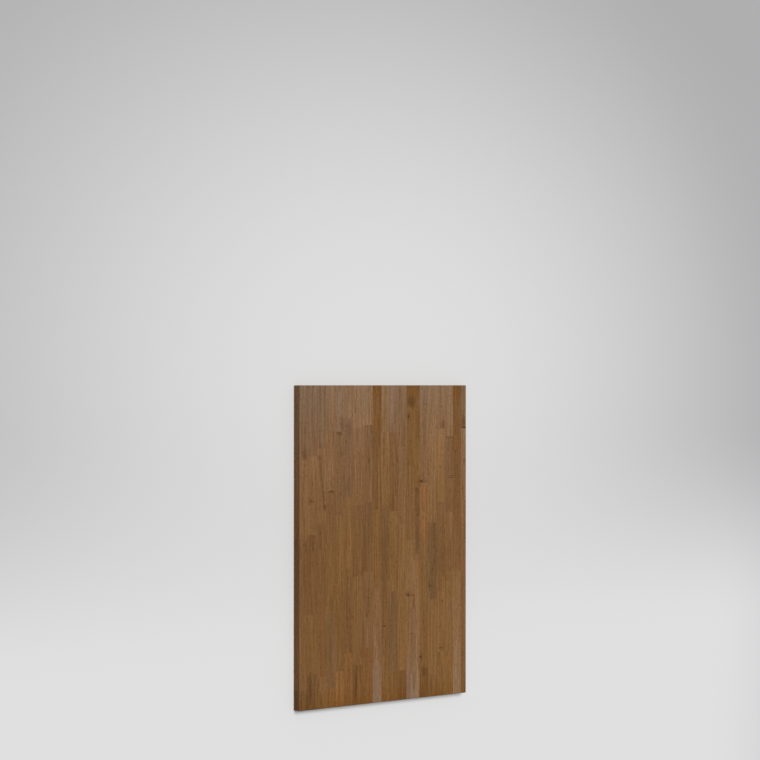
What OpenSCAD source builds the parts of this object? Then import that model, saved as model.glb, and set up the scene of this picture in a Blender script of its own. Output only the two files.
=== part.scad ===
// Butcher block countertop: a slab of solid wood staves, glued edge to edge in rows. The
// end joints are plain butt joints, staggered from row to row, and every outer edge of the
// slab is eased.
//
// The slab lies flat with the middle of its underside at the origin. The staves run along
// X, the rows are counted from the front edge at -Y, and the staves of a row are counted
// from its left end at -X. All sizes are in millimetres.

/* [Slab] */
// Length of the slab, along the staves
slab_length = 1219.2; // [1100:0.1:1600]
// Thickness of the slab, which is the height of each stave
slab_thickness = 38.1; // [19:0.1:80]
// Radius eased onto the outer edges
edge_radius = 3.2; // [0.5:0.1:8]

/* [Rows] */
// Number of rows. Their widths add up to the depth of the slab
rows = 20; // [6:1:30]
// Width that the full rows are ripped to
stave_width = 43; // [30:0.5:60]
// Width that trimming leaves on the front row
front_row_width = 35; // [20:0.1:60]
// Width that trimming leaves on the back row
back_row_width = 27.8; // [20:0.1:60]
// Width of the one narrow row
narrow_row_width = 20; // [12:0.1:60]
// Which row is the narrow one
narrow_row = 14; // [2:1:29]

/* [Staves] */
// Length that full staves are cut to
stave_length = 295; // [200:1:330]

/* [Hidden] */
// The lay-up of each row, from the front row to the back row. A line holds how much wider
// than stave_width the row is ripped, its stagger, and how much longer than stave_length
// each of its full staves is cut. The full staves leave some of the slab's length over: the
// stagger is the share of it that goes to the offcut at the row's left end, and the offcut
// at its right end takes the rest. Rows past the last line start the list again.
LAY_UP = [
    [0, 0.78, [0, -10, -15]],
    [2, 0.66, [0, 5, -70]],
    [-1, 0.66, [0, -25, 5]],
    [2, 0.68, [-65, -100, -30, -15]],
    [-2, 0.56, [15, 5, 0]],
    [-2, 0.37, [5, 5, 0]],
    [6, 0.51, [0, -25, 45]],
    [4, 0.41, [0, -30, -5]],
    [-1, 0.55, [0, 5, 5]],
    [-5, 0.5, [-10, -10, -5]],
    [1, 0.61, [10, 15, 15]],
    [-1, 0.67, [5, 5, -25]],
    [2, 0.75, [-5, -25, -45]],
    [0, 0.27, [5, -40, 0]],
    [0, 0.45, [5, -75, -50, -20]],
    [0, 0.73, [0, 5, 0]],
    [-1, 0.49, [-10, 0, 0]],
    [-1, 0.57, [0, -25, 0]],
    [-4, 0.55, [-105, -15, -20]],
    [0, 0.45, [-15, 5, -35]],
];
// Browns that neighbouring staves take in turn
STAVE_COLOURS = ["#8a6440", "#7a5533", "#94704c", "#6e4b2c"];
// The blanks run this far past the finished slab before it is trimmed and eased
overrun = edge_radius;
$fn = 64;

// Sum of the first n values of a list
function total(values, n) = n == 0 ? 0 : total(values, n - 1) + values[n - 1];
function lay_up(row) = LAY_UP[row % len(LAY_UP)];

// Widths of the rows, and how far back from the front edge each row starts
row_widths = [
    for (row = [0 : rows - 1])
        row == 0 ? front_row_width
        : row == rows - 1 ? back_row_width
        : row == narrow_row - 1 ? narrow_row_width
        : stave_width + lay_up(row)[0]
];
function row_front(row) = total(row_widths, row);
slab_depth = row_front(rows);

// Lengths of the staves in a row, from the left offcut to the right one
function cut_lengths(row) =
    let (
        full = [for (longer = lay_up(row)[2]) stave_length + longer],
        left_over = slab_length - total(full, len(full)),
        stagger = lay_up(row)[1]
    )
    concat(stagger * left_over, full, (1 - stagger) * left_over);

// Staves that meet at an end joint lie in different nodes: the odd ones of a row in one,
// the even ones in the other
HALVES = ["odd", "even"];
function node_name(row, half) =
    str("row_", row < 9 ? "0" : "", row + 1, "_", HALVES[half], "_staves");

module eased_rectangle(width, height) {
    flat_width = width - 2 * edge_radius;
    flat_height = height - 2 * edge_radius;
    square([width, flat_height], center = true);
    square([flat_width, height], center = true);
    for (x = [-flat_width / 2, flat_width / 2], y = [-flat_height / 2, flat_height / 2])
        translate([x, y])
            circle(r = edge_radius);
}

// The finished outside of the slab, as its plan and its two sections cut it
module slab_envelope() {
    intersection() {
        linear_extrude(slab_thickness)
            eased_rectangle(slab_length, slab_depth);
        translate([0, 0, slab_thickness / 2])
            rotate([90, 0, 90])
                linear_extrude(slab_length, center = true)
                    eased_rectangle(slab_depth, slab_thickness);
        translate([0, 0, slab_thickness / 2])
            rotate([90, 0, 0])
                linear_extrude(slab_depth, center = true)
                    eased_rectangle(slab_length, slab_thickness);
    }
}

// One stave before the slab is trimmed. Inside the slab it ends at its neighbours, and
// at the outside it runs past the finished size.
module stave_blank(row, stave) {
    cuts = cut_lengths(row);
    left = stave == 0 ? -overrun : total(cuts, stave);
    right = stave == len(cuts) - 1 ? slab_length + overrun : total(cuts, stave + 1);
    front = row == 0 ? -overrun : row_front(row);
    back = row == rows - 1 ? slab_depth + overrun : row_front(row + 1);
    translate([left - slab_length / 2, front - slab_depth / 2, -overrun])
        cube([right - left, back - front, slab_thickness + 2 * overrun]);
}

// Every second stave of a row, from its first stave or from its second
module staves(row, half) {
    color(STAVE_COLOURS[(2 * row + half) % len(STAVE_COLOURS)])
        intersection() {
            slab_envelope();
            for (stave = [half : 2 : len(cut_lengths(row)) - 1])
                stave_blank(row, stave);
        }
}

for (row = [0 : rows - 1], half = [0, 1])
    staves(row, half);
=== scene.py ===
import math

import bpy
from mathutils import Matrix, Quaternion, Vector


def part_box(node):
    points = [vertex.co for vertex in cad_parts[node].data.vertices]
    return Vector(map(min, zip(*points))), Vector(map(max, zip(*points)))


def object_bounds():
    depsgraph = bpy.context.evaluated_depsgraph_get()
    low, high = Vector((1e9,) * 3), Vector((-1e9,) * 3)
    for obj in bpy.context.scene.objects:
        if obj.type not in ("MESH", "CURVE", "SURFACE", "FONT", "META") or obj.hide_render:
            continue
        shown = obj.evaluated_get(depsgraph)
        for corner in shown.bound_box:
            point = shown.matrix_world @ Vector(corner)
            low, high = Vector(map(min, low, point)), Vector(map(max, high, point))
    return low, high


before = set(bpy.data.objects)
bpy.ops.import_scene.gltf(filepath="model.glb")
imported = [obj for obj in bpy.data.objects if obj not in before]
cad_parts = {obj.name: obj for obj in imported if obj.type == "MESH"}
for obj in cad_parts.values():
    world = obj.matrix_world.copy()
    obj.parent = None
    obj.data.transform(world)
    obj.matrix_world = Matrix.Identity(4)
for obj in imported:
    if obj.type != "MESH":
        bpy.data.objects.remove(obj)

# Looks of the butcher block countertop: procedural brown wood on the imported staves, a pale
# floor, soft light and the camera. Lengths are in metres, or in millimetres where a name or
# comment says so. The staves run along X. "Left" is the slab's end at -X, "front" its edge
# at -Y.

cad_low, cad_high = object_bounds()
slab_size = cad_high - cad_low
slab_middle = (cad_low + cad_high) / 2
MILLIMETRE = 0.001


def srgb(red, green, blue):
    """A colour given as screen values from 0 to 255, as linear values."""
    def linear(value):
        share = value / 255
        return share / 12.92 if share <= 0.04045 else ((share + 0.055) / 1.055) ** 2.4
    return (linear(red), linear(green), linear(blue), 1.0)


def grey(value):
    return srgb(value, value, value)


# ---------------------------------------------------------------- what the staves look like

# Browns of the wood. Each row is painted pale and greyer towards one end, a painted sheen, and deepens
# towards the other
SHEEN_PAINTED_BROWN = srgb(132, 102, 74)
PALE_BROWN = srgb(129, 94, 61)
PLAIN_BROWN = srgb(122, 86, 49)
DEEP_BROWN = srgb(115, 78, 35)
# Where along a row each brown stands, from its end with the painted sheen, 0, to its deep end, 1
PAINTED_SHEEN_RAMP = [
    (0.0, SHEEN_PAINTED_BROWN),
    (0.2, PALE_BROWN),
    (0.5, PLAIN_BROWN),
    (0.94, PLAIN_BROWN),
    (1.0, DEEP_BROWN),
]
# Rows whose painted sheen lies at their right end instead of their left one
SHEEN_TURNED_ROWS = (9, 13, 14, 19)

# Knots, stains, pores and streaks tend to this brown, and so does end grain
DARK_BROWN = srgb(69, 36, 8)
GLUE_BROWN = srgb(62, 42, 27)
GLUE_DEPTH = 0.5
HALF_GLUE_LINE = 0.00025

# How light each stave is: D darkest, d dark, m middling or p pale, each TONE_STEP lighter than
# the one before. A word is a row, front row first, and runs from its left stave to its right one
TONE_STEP = 1.1
TONES = "Ddmp"
# A dark stave is also a richer brown, and a pale one a greyer brown: how much red, green and
# blue follow its tone
TONE_HOLD = (0.95, 1.0, 1.05)
STAVE_TONES = [
    "dmdmD", "dmDmD", "dmddm", "mmdmdm", "mdmdp", "mdmdm", "pmdmD", "pdDmd", "ddmmm", "mmDdm",
    "mDmdd", "dmppD", "mmpmm", "dmDpp", "mmpmmD", "ppDpm", "mpdpm", "pdmpp", "dddpp", "Dpmmm",
]
# How far its hue leans: n neutral, c cool, g golden, w warm or r rich
STAVE_HUES = [
    "cnnnn", "cnngn", "cnnwn", "nnngcr", "cnggr", "ncgnr", "nnnnr", "nnncr", "rngnc", "ggnng",
    "crgcr", "nnngr", "gnnnc", "ngcnn", "cnrngr", "nncnn", "ngnng", "nnnng", "rnwnn", "ncnnn",
]
# What each hue does to red, green and blue
HUES = {
    "n": (1.0, 1.0, 1.0),
    "c": (0.975, 1.01, 1.12),
    "g": (1.01, 1.0, 0.92),
    "w": (1.035, 0.975, 0.97),
    "r": (1.05, 0.98, 0.88),
}

# Every stave has a seed from 0 to 1, this far on from the one before, that sets it apart
SEED_STEP = 0.618034
# A row's first seed lies this many steps on from that of the row before
SEEDS_PER_ROW = 7
# How far through the tree a seed of 1 moves a stave, in metres
SEED_SHIFT = (3.1, 1.7, 2.3)

# The grain sways: noise cycles per metre along X, Y and Z, and how far it sways, in metres
SWAY_CYCLES = (2.4, 14, 14)
SWAY_REACH = (0.0, 0.014, 0.014)

# Growth rings: how far apart they lie, how far they lean in a metre along the stave, and how
# narrow their late wood is. A higher power makes it narrower
RING_SPACING = 0.0034
RING_LEAN = 0.012
LATE_WOOD_POWER = 3.0
# How near the heart of the tree lies to the middle of the row, and how much farther it can be
NEAREST_HEART = 0.03
HEART_SPREAD = 0.09
# Large factors, so that seeds that lie close together still put the heart at different angles,
# in radians, and at different distances
HEART_ANGLE_FACTOR = 37.0
HEART_DISTANCE_FACTOR = 7.3

# Patterns of noise in the wood: cycles per metre along a stave and across it, detail, roughness
PATTERNS = {
    "bands": (2, 48, 2.0, 0.6),
    "grain": (5, 150, 2.0, 0.6),
    "clouds": (105, 130, 2.0, 0.6),
    "fibres": (9, 380, 3.0, 0.75),
    "blush": (7, 50, 2.0, 0.5),
    "pale_lines": (3, 170, 1.0, 0.5),
    "dark_lines": (4, 190, 1.0, 0.5),
    "streaks": (4, 75, 2.0, 0.5),
    "flecks": (32, 200, 1.0, 0.5),
    "dashes": (60, 950, 2.0, 0.6),
}
# Some show only where their noise is high: where they start to show, and where they are full
SHOWN_FROM = {
    "pale_lines": (0.6, 0.76),
    "dark_lines": (0.6, 0.76),
    "streaks": (0.62, 0.82),
    "flecks": (0.62, 0.8),
    "pores": (0.52, 0.78),
}
# How much closer together the pores lie where the wood clouds over
PORE_CROWDING = 0.8

# How strongly each pattern lightens the wood, or darkens it where the number is below 0, as a
# share of its brightness
LINE_SHADES = {"late_wood": -0.2, "pale_lines": 0.2}
NOISE_SHADES = {"bands": 0.12, "grain": 0.78, "clouds": 0.85, "fibres": 0.5}
# Noise lies round 0.5, so half of each noise's share is taken off again
BASE_SHADE = 0.08 - sum(NOISE_SHADES.values()) / 2
# What is lighter is also greyer: how much red, green and blue follow the shade. None of them
# falls below the smallest share
SHADE_HOLD = (1.0, 1.3, 1.8)
SMALLEST_SHARE = (0.2, 0.2, 0.2)
# The wood blushes from a cool brown to a warm one
COOL_BLUSH = (0.93, 1.04, 1.07, 1.0)
WARM_BLUSH = (1.07, 0.96, 0.93, 1.0)
# How far each mark turns the wood to DARK_BROWN
DARK_MARKS = {"streaks": 0.15, "dark_lines": 0.2, "flecks": 0.45, "pores": 0.55}

# The sides of the slab are painted darker and a richer brown than its faces, a painted shade. A
# surface counts as a side by how far it faces up or down: wholly at the first share, and not at all
# past the second
SIDE_SHADE_TINT = (0.87, 0.74, 0.5, 1.0)
SIDE_SHARES = (0.2, 0.8)
# End grain soaks up more oil: how far it turns to DARK_BROWN, and how much more its late wood
# does. It starts and is full at these shares of facing along X
END_GRAIN_DEPTH = 0.25
END_LATE_WOOD_DEPTH = 0.3
END_GRAIN_SHARES = (0.5, 0.95)
# The eased edges are painted a paler, greyer brown, a painted highlight, wholly where the surface
# faces no axis by more than the first share, and not at all past the second
EDGE_HIGHLIGHT_BROWN = srgb(122, 114, 104)
EDGE_HIGHLIGHT_DEPTH = 0.35
EDGE_HIGHLIGHT_SHARES = (0.72, 0.99)

# The surface: its gloss, its roughness and what each pattern adds to it, and its relief
GLOSS = 0.15
BASE_ROUGHNESS = 0.4
ROUGHNESS_ADDED = {"fibres": 0.12, "pores": 0.12, "side": 0.15}
RELIEF_STRENGTH = 0.25
RELIEF_HEIGHT = 0.0002
BASE_HEIGHT = 0.5
HEIGHT_ADDED = {"fibres": 0.5, "pores": -0.4, "late_wood": 0.15, "joint": -0.4}

# Rims of stains and knots: noise cycles per metre along X, Y and Z, its detail and roughness,
# and how ragged it makes them
STAIN_RIM_CYCLES = (60, 260, 100)
STAIN_RIM_DETAIL = 2.0
STAIN_RAGGEDNESS = 1.4
KNOT_RIM_CYCLES = (150, 110, 150)
KNOT_RIM_DETAIL = 3.0
KNOT_RAGGEDNESS = 3.0
RIM_ROUGHNESS = 0.6
# How far from the centre a stain, the core of a knot and the rings round it are full, and how
# far out they are gone, where 1 is the size that the lists below give
STAIN_FADE = (0.35, 1.2)
KNOT_CORE_FADE = (0.2, 0.9)
KNOT_RINGS_FADE = (0.5, 2.4)
# How dark the core of a knot is, how dark the rings are and by how much that goes up and down,
# and how close together the rings lie
KNOT_CORE_DEPTH = 0.75
KNOT_RINGS_DEPTH = 0.26
KNOT_RING_WAVE = 0.08
KNOT_RING_FACTOR = 16.0
# The grain bends out round a knot: by this much next to it, and as far off as half the knot's
# size divided by these shares, along X and Y
GRAIN_BEND = 0.75
GRAIN_BEND_SHARES = (0.22, 0.3, 0.0)

# Knots, in millimetres: how far along the slab and how far back, length, width, and depth of
# colour
KNOTS = [
    (182, 188, 14, 38, 0.8),
    (275, 90, 26, 18, 0.6),
    (437, 54, 18, 20, 0.8),
    (122, 521, 26, 16, 1.0),
    (374, 584, 22, 24, 1.2),
    (465, 280, 20, 12, 0.6),
    (785, 627, 18, 16, 1.1),
    (812, 516, 18, 22, 1.2),
    (1060, 580, 28, 15, 1.0),
]
# Dark streaks and patches, in millimetres: how far along and back, length, width, and depth
STAINS = [
    (258, 22, 50, 34, 0.3),
    (605, 28, 60, 20, 0.35),
    (1150, 50, 130, 20, 0.5),
    (310, 95, 110, 10, 0.4),
    (350, 101, 110, 10, 0.4),
    (390, 106, 110, 10, 0.45),
    (430, 112, 100, 10, 0.5),
    (460, 117, 28, 12, 0.75),
    (402, 146, 9, 34, 0.8),
    (820, 148, 90, 26, 0.3),
    (970, 146, 2, 38, 0.4),
    (978, 146, 2, 38, 0.4),
    (986, 146, 2, 38, 0.4),
    (150, 196, 80, 30, 0.3),
    (165, 232, 80, 34, 0.25),
    (375, 228, 80, 34, 0.25),
    (858, 222, 320, 10, 0.4),
    (1140, 264, 140, 12, 0.5),
    (783, 303, 95, 2, 0.5),
    (245, 348, 130, 4, 0.6),
    (400, 348, 120, 4, 0.4),
    (1027, 358, 65, 9, 0.35),
    (60, 383, 120, 5, 0.5),
    (927, 402, 7, 28, 0.65),
    (565, 463, 150, 3, 0.6),
    (62, 535, 60, 44, 0.55),
    (816, 541, 9, 30, 0.5),
    (966, 532, 6, 38, 0.35),
    (404, 566, 32, 12, 0.4),
    (590, 566, 115, 16, 0.3),
    (376, 602, 14, 32, 0.3),
    (1116, 602, 50, 46, 0.5),
    (320, 680, 10, 12, 0.5),
    (770, 672, 40, 12, 0.35),
    (1032, 684, 8, 34, 0.55),
    (155, 690, 46, 32, 0.35),
    (357, 736, 3, 42, 0.75),
    (364, 736, 3, 42, 0.75),
    (140, 748, 270, 4, 0.4),
    (262, 758, 12, 16, 0.5),
    (360, 789, 8, 7, 0.5),
    (140, 800, 50, 20, 0.5),
    (166, 802, 10, 28, 0.8),
    (300, 801, 24, 6, 0.5),
]


# ------------------------------------------------------------------------ building materials

def add(tree, kind, *values, out=0, **settings):
    """Adds a shader node and returns one of its outputs. The values fill its inputs in order,
    as links or as plain values, and None leaves an input as it is."""
    node = tree.nodes.new("ShaderNode" + kind)
    for name, value in settings.items():
        setattr(node, name, value)
    for socket, value in zip(node.inputs, values):
        if isinstance(value, bpy.types.NodeSocket):
            tree.links.new(value, socket)
        elif value is not None:
            socket.default_value = value
    return node.outputs[out]


def calc(tree, operation, *values):
    return add(tree, "Math", *values, operation=operation)


def vector_calc(tree, operation, *values, out=0):
    return add(tree, "VectorMath", *values, operation=operation, out=out)


def remap(tree, value, old_low, old_high, new_low, new_high):
    """Carries a value smoothly from one range to another, and stops at its ends."""
    ends = (old_low, old_high, new_low, new_high)
    return add(tree, "MapRange", value, *ends, interpolation_type="SMOOTHSTEP")


def mix(tree, factor, first, second, blend="MIX"):
    unused = [None] * 5
    return add(tree, "Mix", factor, *unused, first, second, out=2, data_type="RGBA", blend_type=blend)


def weighted_sum(tree, base, weights, values):
    """The base plus each of the named values times its weight."""
    total = base
    for name, weight in weights.items():
        total = calc(tree, "MULTIPLY_ADD", values[name], weight, total)
    return total


def ramp(tree, factor, stops, interpolation="LINEAR"):
    """A colour ramp through (position, colour) stops, the first of which stands at 0."""
    output = add(tree, "ValToRGB", factor)
    band = output.node.color_ramp
    band.interpolation = interpolation
    band.elements.remove(band.elements[1])
    band.elements[0].color = stops[0][1]
    for position, colour in stops[1:]:
        band.elements.new(position).color = colour
    return output


def noise(tree, place, cycles, detail, roughness, out=0):
    """Noise with its own cycles per metre along X, Y and Z."""
    stretched = vector_calc(tree, "MULTIPLY", place, cycles)
    return add(tree, "TexNoise", stretched, None, 1.0, detail, roughness, out=out)


def new_group(name, inputs, outputs):
    """A node group with the named sockets. Returns it with its inputs and its outputs."""
    tree = bpy.data.node_groups.new(name, "ShaderNodeTree")
    for in_out, sockets in (("INPUT", inputs), ("OUTPUT", outputs)):
        for socket, kind in sockets.items():
            tree.interface.new_socket(socket, in_out=in_out, socket_type="NodeSocket" + kind)
    return tree, tree.nodes.new("NodeGroupInput").outputs, tree.nodes.new("NodeGroupOutput").inputs


def use_group(tree, group, values):
    """Adds a group node and sets its inputs by name. Returns its outputs."""
    node = tree.nodes.new("ShaderNodeGroup")
    node.node_tree = group
    for name, value in values.items():
        if isinstance(value, bpy.types.NodeSocket):
            tree.links.new(value, node.inputs[name])
        else:
            node.inputs[name].default_value = value
    return node.outputs


def ragged_reach(tree, given, rim_cycles, rim_detail, raggedness):
    """How far a point lies from the centre of a mark: as a vector, as shares of the mark's half
    size, and as one number that is about 1 at its ragged rim, at any height in the slab."""
    offset = vector_calc(tree, "SUBTRACT", given["Position"], given["Centre"])
    shares = vector_calc(tree, "DIVIDE", offset, given["Half Size"])
    reach = vector_calc(tree, "LENGTH", vector_calc(tree, "MULTIPLY", shares, (1, 1, 0)), out=1)
    rim = noise(tree, given["Position"], rim_cycles, rim_detail, RIM_ROUGHNESS)
    ragged = calc(tree, "ADD", reach, calc(tree, "MULTIPLY_ADD", rim, raggedness, -raggedness / 2))
    return offset, shares, ragged


def make_stain_group():
    """How deep a point lies in a ragged stain: 1 at its middle, 0 outside."""
    sockets = {"Position": "Vector", "Centre": "Vector", "Half Size": "Vector"}
    tree, given, result = new_group("stain", sockets, {"Inside": "Float"})
    rim = (STAIN_RIM_CYCLES, STAIN_RIM_DETAIL, STAIN_RAGGEDNESS)
    _, _, ragged = ragged_reach(tree, given, *rim)
    tree.links.new(remap(tree, ragged, *STAIN_FADE, 1.0, 0.0), result["Inside"])
    return tree


def make_knot_group():
    """A knot: the dark it adds, and places moved so that the grain runs past it on both sides."""
    sockets = {"Position": "Vector", "Grain": "Vector", "Centre": "Vector", "Half Size": "Vector"}
    tree, given, result = new_group("knot", sockets, {"Dark": "Float", "Grain": "Vector"})
    rim = (KNOT_RIM_CYCLES, KNOT_RIM_DETAIL, KNOT_RAGGEDNESS)
    offset, shares, ragged = ragged_reach(tree, given, *rim)
    core = remap(tree, ragged, *KNOT_CORE_FADE, KNOT_CORE_DEPTH, 0.0)
    wave = calc(tree, "SINE", calc(tree, "MULTIPLY", ragged, KNOT_RING_FACTOR))
    rings = calc(tree, "MULTIPLY_ADD", wave, KNOT_RING_WAVE, KNOT_RINGS_DEPTH)
    rings = calc(tree, "MULTIPLY", remap(tree, ragged, *KNOT_RINGS_FADE, 1.0, 0.0), rings)
    tree.links.new(calc(tree, "MAXIMUM", core, rings), result["Dark"])
    wide = vector_calc(tree, "MULTIPLY", shares, GRAIN_BEND_SHARES)
    wide = vector_calc(tree, "LENGTH", wide, out=1)
    push = add(tree, "CombineXYZ", 0.0, remap(tree, wide, 0.0, 1.0, -GRAIN_BEND, 0.0), 0.0)
    moved = vector_calc(tree, "MULTIPLY", offset, push)
    tree.links.new(vector_calc(tree, "ADD", given["Grain"], moved), result["Grain"])
    return tree


def place_in_tree(tree, given):
    """Where in the tree a point of the stave grew, and how far the grain sways there."""
    shift = vector_calc(tree, "SCALE", SEED_SHIFT, None, None, given["Seed"])
    place = vector_calc(tree, "ADD", given["Position"], shift)
    sway = noise(tree, place, SWAY_CYCLES, 1.0, 0.5, out=1)
    sway = vector_calc(tree, "SUBTRACT", sway, (0.5, 0.5, 0.5))
    sway = vector_calc(tree, "MULTIPLY", sway, SWAY_REACH)
    return vector_calc(tree, "ADD", place, sway), sway


def ring_late_wood(tree, given, sway):
    """The late wood of growth rings, from 0 to 1, round a heart that lies off to one side of the
    row, at an angle and a distance that differ from stave to stave."""
    local = vector_calc(tree, "SUBTRACT", given["Position"], given["Row Centre"])
    local = vector_calc(tree, "ADD", local, sway)
    angle = calc(tree, "MULTIPLY", given["Seed"], HEART_ANGLE_FACTOR)
    scattered = calc(tree, "FRACT", calc(tree, "MULTIPLY", given["Seed"], HEART_DISTANCE_FACTOR))
    distance = calc(tree, "MULTIPLY_ADD", scattered, HEART_SPREAD, NEAREST_HEART)
    heart_y = calc(tree, "MULTIPLY", calc(tree, "COSINE", angle), distance)
    heart_z = calc(tree, "MULTIPLY", calc(tree, "SINE", angle), distance)
    heart = add(tree, "CombineXYZ", 0.0, heart_y, heart_z)
    from_heart = vector_calc(tree, "SUBTRACT", local, heart)
    radius = vector_calc(tree, "LENGTH", vector_calc(tree, "MULTIPLY", from_heart, (0, 1, 1)), out=1)
    along = add(tree, "SeparateXYZ", local)
    leaning = calc(tree, "MULTIPLY_ADD", along, RING_LEAN, radius)
    phase = calc(tree, "FRACT", calc(tree, "DIVIDE", leaning, RING_SPACING))
    return calc(tree, "POWER", phase, LATE_WOOD_POWER)


def wood_patterns(tree, place):
    """Every one of PATTERNS by its name, and the pores."""
    found = {}
    for name, (along, across, detail, roughness) in PATTERNS.items():
        found[name] = noise(tree, place, (along, across, across), detail, roughness)
    # pores, cut lengthwise, are short dark dashes
    crowded = calc(tree, "MULTIPLY_ADD", found["clouds"], PORE_CROWDING, -PORE_CROWDING / 2)
    found["pores"] = calc(tree, "ADD", found["dashes"], crowded)
    for name, (start, full) in SHOWN_FROM.items():
        found[name] = remap(tree, found[name], start, full, 0.0, 1.0)
    return found


def board_colour(tree, given, patterns):
    """The colour of the wood as the faces of the slab show it."""
    shade = weighted_sum(tree, BASE_SHADE, LINE_SHADES | NOISE_SHADES, patterns)
    shade = vector_calc(tree, "SCALE", SHADE_HOLD, None, None, shade)
    shade = vector_calc(tree, "ADD", shade, (1, 1, 1))
    shade = vector_calc(tree, "MAXIMUM", shade, SMALLEST_SHARE)
    blush = mix(tree, patterns["blush"], COOL_BLUSH, WARM_BLUSH)
    # the painted sheen along the row, times the stave's tint
    colour = mix(tree, 1.0, given["Painted Sheen"], given["Tint"], "MULTIPLY")
    colour = mix(tree, 1.0, colour, blush, "MULTIPLY")
    colour = vector_calc(tree, "MULTIPLY", colour, shade)
    dark = weighted_sum(tree, 0.0, DARK_MARKS, patterns)
    return mix(tree, calc(tree, "MAXIMUM", dark, given["Mark"]), colour, DARK_BROWN)


def outer_surfaces(tree):
    """How much a point is on a side of the slab, on end grain and on an eased edge, 0 to 1."""
    facing = vector_calc(tree, "ABSOLUTE", add(tree, "NewGeometry", out=1))
    facing_x, facing_y, facing_z = add(tree, "SeparateXYZ", facing).node.outputs
    side = remap(tree, facing_z, *SIDE_SHARES, 1.0, 0.0)
    end_grain = remap(tree, facing_x, *END_GRAIN_SHARES, 0.0, 1.0)
    flattest = calc(tree, "MAXIMUM", facing_x, calc(tree, "MAXIMUM", facing_y, facing_z))
    eased = remap(tree, flattest, *EDGE_HIGHLIGHT_SHARES, 1.0, 0.0)
    return side, end_grain, eased


def make_wood_group():
    """Solid wood of one stave: growth rings, bands and fibres along X, pores, end grain."""
    inputs = {
        "Position": "Vector", "Row Centre": "Vector", "Seed": "Float",
        "Painted Sheen": "Color", "Tint": "Color", "Joint": "Float", "Mark": "Float",
    }
    outputs = {"Color": "Color", "Roughness": "Float", "Height": "Float"}
    tree, given, result = new_group("stave_wood", inputs, outputs)
    place, sway = place_in_tree(tree, given)
    patterns = wood_patterns(tree, place)
    patterns["late_wood"] = ring_late_wood(tree, given, sway)
    patterns["joint"] = given["Joint"]
    side, end_grain, eased = outer_surfaces(tree)
    patterns["side"] = side

    colour = board_colour(tree, given, patterns)
    # painted shade: the sides are painted darker and a richer brown
    colour = mix(tree, side, colour, mix(tree, 1.0, colour, SIDE_SHADE_TINT, "MULTIPLY"))
    late_wood = patterns["late_wood"]
    oiled = calc(tree, "MULTIPLY_ADD", late_wood, END_LATE_WOOD_DEPTH, END_GRAIN_DEPTH)
    colour = mix(tree, calc(tree, "MULTIPLY", end_grain, oiled), colour, DARK_BROWN)
    # painted highlight on the eased edges
    colour = mix(tree, calc(tree, "MULTIPLY", eased, EDGE_HIGHLIGHT_DEPTH), colour, EDGE_HIGHLIGHT_BROWN)
    colour = mix(tree, calc(tree, "MULTIPLY", given["Joint"], GLUE_DEPTH), colour, GLUE_BROWN)

    roughness = weighted_sum(tree, BASE_ROUGHNESS, ROUGHNESS_ADDED, patterns)
    height = weighted_sum(tree, BASE_HEIGHT, HEIGHT_ADDED, patterns)
    tree.links.new(colour, result["Color"])
    tree.links.new(roughness, result["Roughness"])
    tree.links.new(height, result["Height"])
    return tree


# ------------------------------------------------------------------------ wood of each row

def stave_spans(node_name):
    """Where each stave of a node starts and ends along X."""
    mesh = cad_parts[node_name].data
    face_spans = []
    for face in mesh.polygons:
        xs = [mesh.vertices[i].co.x for i in face.vertices]
        face_spans.append((min(xs), max(xs)))
    spans = []
    for start, end in sorted(face_spans):
        if spans and start <= spans[-1][1] + MILLIMETRE:
            spans[-1][1] = max(spans[-1][1], end)
        else:
            spans.append([start, end])
    return spans


def share_along(x):
    """How far along the slab a place is, from 0 at its left end to 1 at its right end."""
    return (x - cad_low.x) / slab_size.x


def stave_stops(row, starts):
    """Ramp stops that give each stave of a row its tint, and its seed in place of alpha."""
    tones = STAVE_TONES[(row - 1) % len(STAVE_TONES)]
    hues = STAVE_HUES[(row - 1) % len(STAVE_HUES)]
    stops = []
    for stave, start in enumerate(starts):
        steps = TONES.index(tones[stave % len(tones)]) - TONES.index("m")
        hue = HUES[hues[stave % len(hues)]]
        tint = [TONE_STEP ** (steps * hold) * share for hold, share in zip(TONE_HOLD, hue)]
        seed = SEED_STEP * (SEEDS_PER_ROW * row + stave) % 1
        stops.append((share_along(start), (*tint, seed)))
    return stops


def joint_stops(starts):
    """Ramp stops with a narrow white line at each end joint."""
    half_line = HALF_GLUE_LINE / slab_size.x
    black, white = (0, 0, 0, 1), (1, 1, 1, 1)
    stops = [(0.0, black)]
    for start in starts[1:]:
        joint = share_along(start)
        stops += [(joint - half_line, black), (joint, white), (joint + half_line, black)]
    return stops


def marks_in_row(marks, row_low, row_high):
    """The marks that reach into a row, as (centre, half size, depth)."""
    found = []
    for along, back, length, width, depth in marks:
        centre = Vector((cad_low.x + along * MILLIMETRE, cad_low.y + back * MILLIMETRE, slab_middle.z))
        half = Vector((length, width, 0)) * MILLIMETRE / 2
        if centre.y + half.y > row_low.y and centre.y - half.y < row_high.y:
            half.z = slab_size.z
            found.append((centre, half, depth))
    return found


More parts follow.
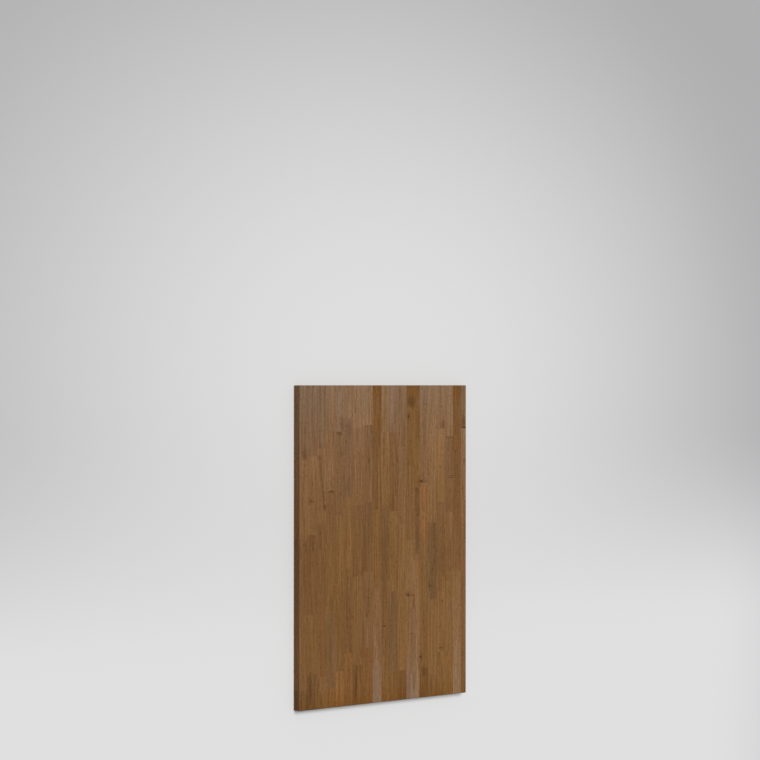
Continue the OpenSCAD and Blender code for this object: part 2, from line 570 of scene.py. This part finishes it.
def wood_of_row(row, node_names):
    """The material that the two nodes of a row share."""
    row_low, row_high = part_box(node_names[0])
    starts = sorted(span[0] for name in node_names for span in stave_spans(name))
    material = bpy.data.materials.new(f"oiled_wood_row_{row:02d}")
    material.use_nodes = True
    tree = material.node_tree
    tree.nodes.clear()

    position = add(tree, "TexCoord", out=3)
    x, y, _ = add(tree, "SeparateXYZ", position).node.outputs
    along = add(tree, "MapRange", x, cad_low.x, cad_high.x, 0.0, 1.0)
    # painted sheen: each row is painted pale and greyer towards one end and deepens towards the other
    from_sheen_end = calc(tree, "SUBTRACT", 1.0, along) if row in SHEEN_TURNED_ROWS else along
    painted_sheen = ramp(tree, from_sheen_end, PAINTED_SHEEN_RAMP)
    tint = ramp(tree, along, stave_stops(row, starts), "CONSTANT")
    seed = tint.node.outputs["Alpha"]
    joint = ramp(tree, along, joint_stops(starts))
    if row_low.y > cad_low.y + MILLIMETRE:
        front_line = remap(tree, y, row_low.y, row_low.y + HALF_GLUE_LINE, 1.0, 0.0)
        joint = calc(tree, "MAXIMUM", joint, front_line)
    if row_high.y < cad_high.y - MILLIMETRE:
        back_line = remap(tree, y, row_high.y - HALF_GLUE_LINE, row_high.y, 0.0, 1.0)
        joint = calc(tree, "MAXIMUM", joint, back_line)

    grain_place, mark = position, 0.0
    for centre, half, depth in marks_in_row(KNOTS, row_low, row_high):
        spot = {"Position": position, "Grain": grain_place, "Centre": centre, "Half Size": half}
        dark, grain_place = use_group(tree, KNOT, spot)
        mark = calc(tree, "MAXIMUM", calc(tree, "MULTIPLY", dark, depth), mark)
    for centre, half, depth in marks_in_row(STAINS, row_low, row_high):
        inside = use_group(tree, STAIN, {"Position": position, "Centre": centre, "Half Size": half})[0]
        mark = calc(tree, "MAXIMUM", calc(tree, "MULTIPLY", inside, depth), mark)

    wood = use_group(tree, WOOD, {
        "Position": grain_place,
        "Row Centre": Vector((0, (row_low.y + row_high.y) / 2, slab_middle.z)),
        "Seed": seed, "Painted Sheen": painted_sheen, "Tint": tint, "Joint": joint, "Mark": mark,
    })
    surface = tree.nodes.new("ShaderNodeBsdfPrincipled")
    surface.inputs["Specular IOR Level"].default_value = GLOSS
    tree.links.new(wood["Color"], surface.inputs["Base Color"])
    tree.links.new(wood["Roughness"], surface.inputs["Roughness"])
    bump = add(tree, "Bump", RELIEF_STRENGTH, RELIEF_HEIGHT, None, wood["Height"])
    tree.links.new(bump, surface.inputs["Normal"])
    output = tree.nodes.new("ShaderNodeOutputMaterial")
    tree.links.new(surface.outputs[0], output.inputs["Surface"])
    return material


STAIN = make_stain_group()
KNOT = make_knot_group()
WOOD = make_wood_group()

rows = {}
for node_name in sorted(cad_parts):
    rows.setdefault(int(node_name.split("_")[1]), []).append(node_name)
for row, node_names in rows.items():
    wood = wood_of_row(row, node_names)
    for node_name in node_names:
        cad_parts[node_name].material_slots[0].material = wood


# ------------------------------------------------------------------- floor, light and camera

# The floor is a wide square that reflects hardly anything
FLOOR_SIZE = 60
FLOOR_ROUGHNESS = 0.9
# Its greys: even towards the slab's right end, a painted pool of light at its left end, painted shade
# round that pool, and painted shade far away
FLOOR_TONE = 221
LIGHT_POOL_TONE = 219
POOL_SHADE_TONE = 168
FAR_SHADE_TONE = 176
# Between these two places along X the left end's greys give way to FLOOR_TONE
LEFT_GREYS_END = (-0.5, 0.45)
# The bright patch and the near floor are ellipses: a place on the floor times the stretch, plus
# the shift, says how far it lies from the middle. Their greys hold out to the first reach and
# are gone past the second
PATCH_STRETCH = (1.3, 1.0, 0.0)
PATCH_SHIFT = (0.9, 0.0, 0.0)
PATCH_REACH = (0.2, 3.0)
NEAR_STRETCH = (0.6, 1.0, 0.0)
NEAR_SHIFT = (-0.2, 0.0, 0.0)
NEAR_REACH = (1.8, 3.2)

# The soft light: the strength of the sky, and a wide lamp overhead
SKY_STRENGTH = 0.25
LAMP_STRENGTH = 2.6
LAMP_WIDTH_DEGREES = 32
LAMP_PLACE = (-2.2, -1.0, 6.8)

# The camera's direction from the slab and its roll, in degrees, its distance and its lens. It
# aims just past the slab's left end and a little in front of its middle
CAMERA_AZIMUTH = -89.86
CAMERA_ELEVATION = 52.18
CAMERA_ROLL = 89.92
CAMERA_DISTANCE = 8.415
CAMERA_LENS_MILLIMETRES = 103.34
CAMERA_SIGHT = 100
AIM_PAST_LEFT_END = 0.0204
AIM_BEFORE_MIDDLE = 0.0117


def past_ellipse(tree, position, stretch, shift, reach):
    """0 within the reach of an ellipse on the floor, 1 past it."""
    from_middle = vector_calc(tree, "MULTIPLY_ADD", position, stretch, shift)
    return remap(tree, vector_calc(tree, "LENGTH", from_middle, out=1), *reach, 0.0, 1.0)


def make_floor():
    """A pale floor with painted light: even towards the slab's right end, a painted pool of light at
    its left end with painted shade round it and far away.
    """
    bpy.ops.mesh.primitive_plane_add(size=FLOOR_SIZE, location=(0, 0, cad_low.z))
    floor = bpy.context.object
    floor.name = "floor"
    material = bpy.data.materials.new("floor_with_painted_light")
    material.use_nodes = True
    tree = material.node_tree
    position = add(tree, "TexCoord", out=3)
    x = add(tree, "SeparateXYZ", position)
    # painted pool of light, with painted shade round it
    dim = past_ellipse(tree, position, PATCH_STRETCH, PATCH_SHIFT, PATCH_REACH)
    left_grey = mix(tree, dim, grey(LIGHT_POOL_TONE), grey(POOL_SHADE_TONE))
    to_right = remap(tree, x, *LEFT_GREYS_END, 0.0, 1.0)
    colour = mix(tree, to_right, left_grey, grey(FLOOR_TONE))
    # painted shade far away
    far = past_ellipse(tree, position, NEAR_STRETCH, NEAR_SHIFT, NEAR_REACH)
    colour = mix(tree, far, colour, grey(FAR_SHADE_TONE))
    surface = tree.nodes["Principled BSDF"]
    tree.links.new(colour, surface.inputs["Base Color"])
    surface.inputs["Roughness"].default_value = FLOOR_ROUGHNESS
    surface.inputs["Specular IOR Level"].default_value = 0.0
    floor.data.materials.append(material)


def make_light():
    """A white sky and one wide, soft lamp."""
    world = bpy.data.worlds.new("studio")
    bpy.context.scene.world = world
    world.use_nodes = True
    background = world.node_tree.nodes["Background"]
    background.inputs["Color"].default_value = (1, 1, 1, 1)
    background.inputs["Strength"].default_value = SKY_STRENGTH
    lamp_data = bpy.data.lights.new("softbox", "SUN")
    lamp_data.angle = math.radians(LAMP_WIDTH_DEGREES)
    lamp_data.energy = LAMP_STRENGTH
    lamp = bpy.data.objects.new("softbox", lamp_data)
    bpy.context.scene.collection.objects.link(lamp)
    lamp.location = LAMP_PLACE
    lamp.rotation_mode = "QUATERNION"
    lamp.rotation_quaternion = (slab_middle - lamp.location).to_track_quat("-Z", "Y")


def make_camera():
    """Looks down on the slab from its front, turned so that the slab's left end is at the top."""
    azimuth = math.radians(CAMERA_AZIMUTH)
    elevation = math.radians(CAMERA_ELEVATION)
    roll = Quaternion((0, 0, 1), math.radians(CAMERA_ROLL))
    back = Vector((
        math.cos(elevation) * math.cos(azimuth),
        math.cos(elevation) * math.sin(azimuth),
        math.sin(elevation),
    ))
    camera_data = bpy.data.cameras.new("camera")
    camera_data.lens = CAMERA_LENS_MILLIMETRES
    camera_data.clip_end = CAMERA_SIGHT
    camera = bpy.data.objects.new("camera", camera_data)
    bpy.context.scene.collection.objects.link(camera)
    target = Vector((cad_low.x - AIM_PAST_LEFT_END, slab_middle.y - AIM_BEFORE_MIDDLE, slab_middle.z))
    camera.location = target + CAMERA_DISTANCE * back
    camera.rotation_mode = "QUATERNION"
    camera.rotation_quaternion = (-back).to_track_quat("-Z", "Y") @ roll
    bpy.context.scene.camera = camera


make_floor()
make_light()
make_camera()
bpy.context.scene.view_settings.view_transform = "Standard"

bpy.context.view_layer.update()
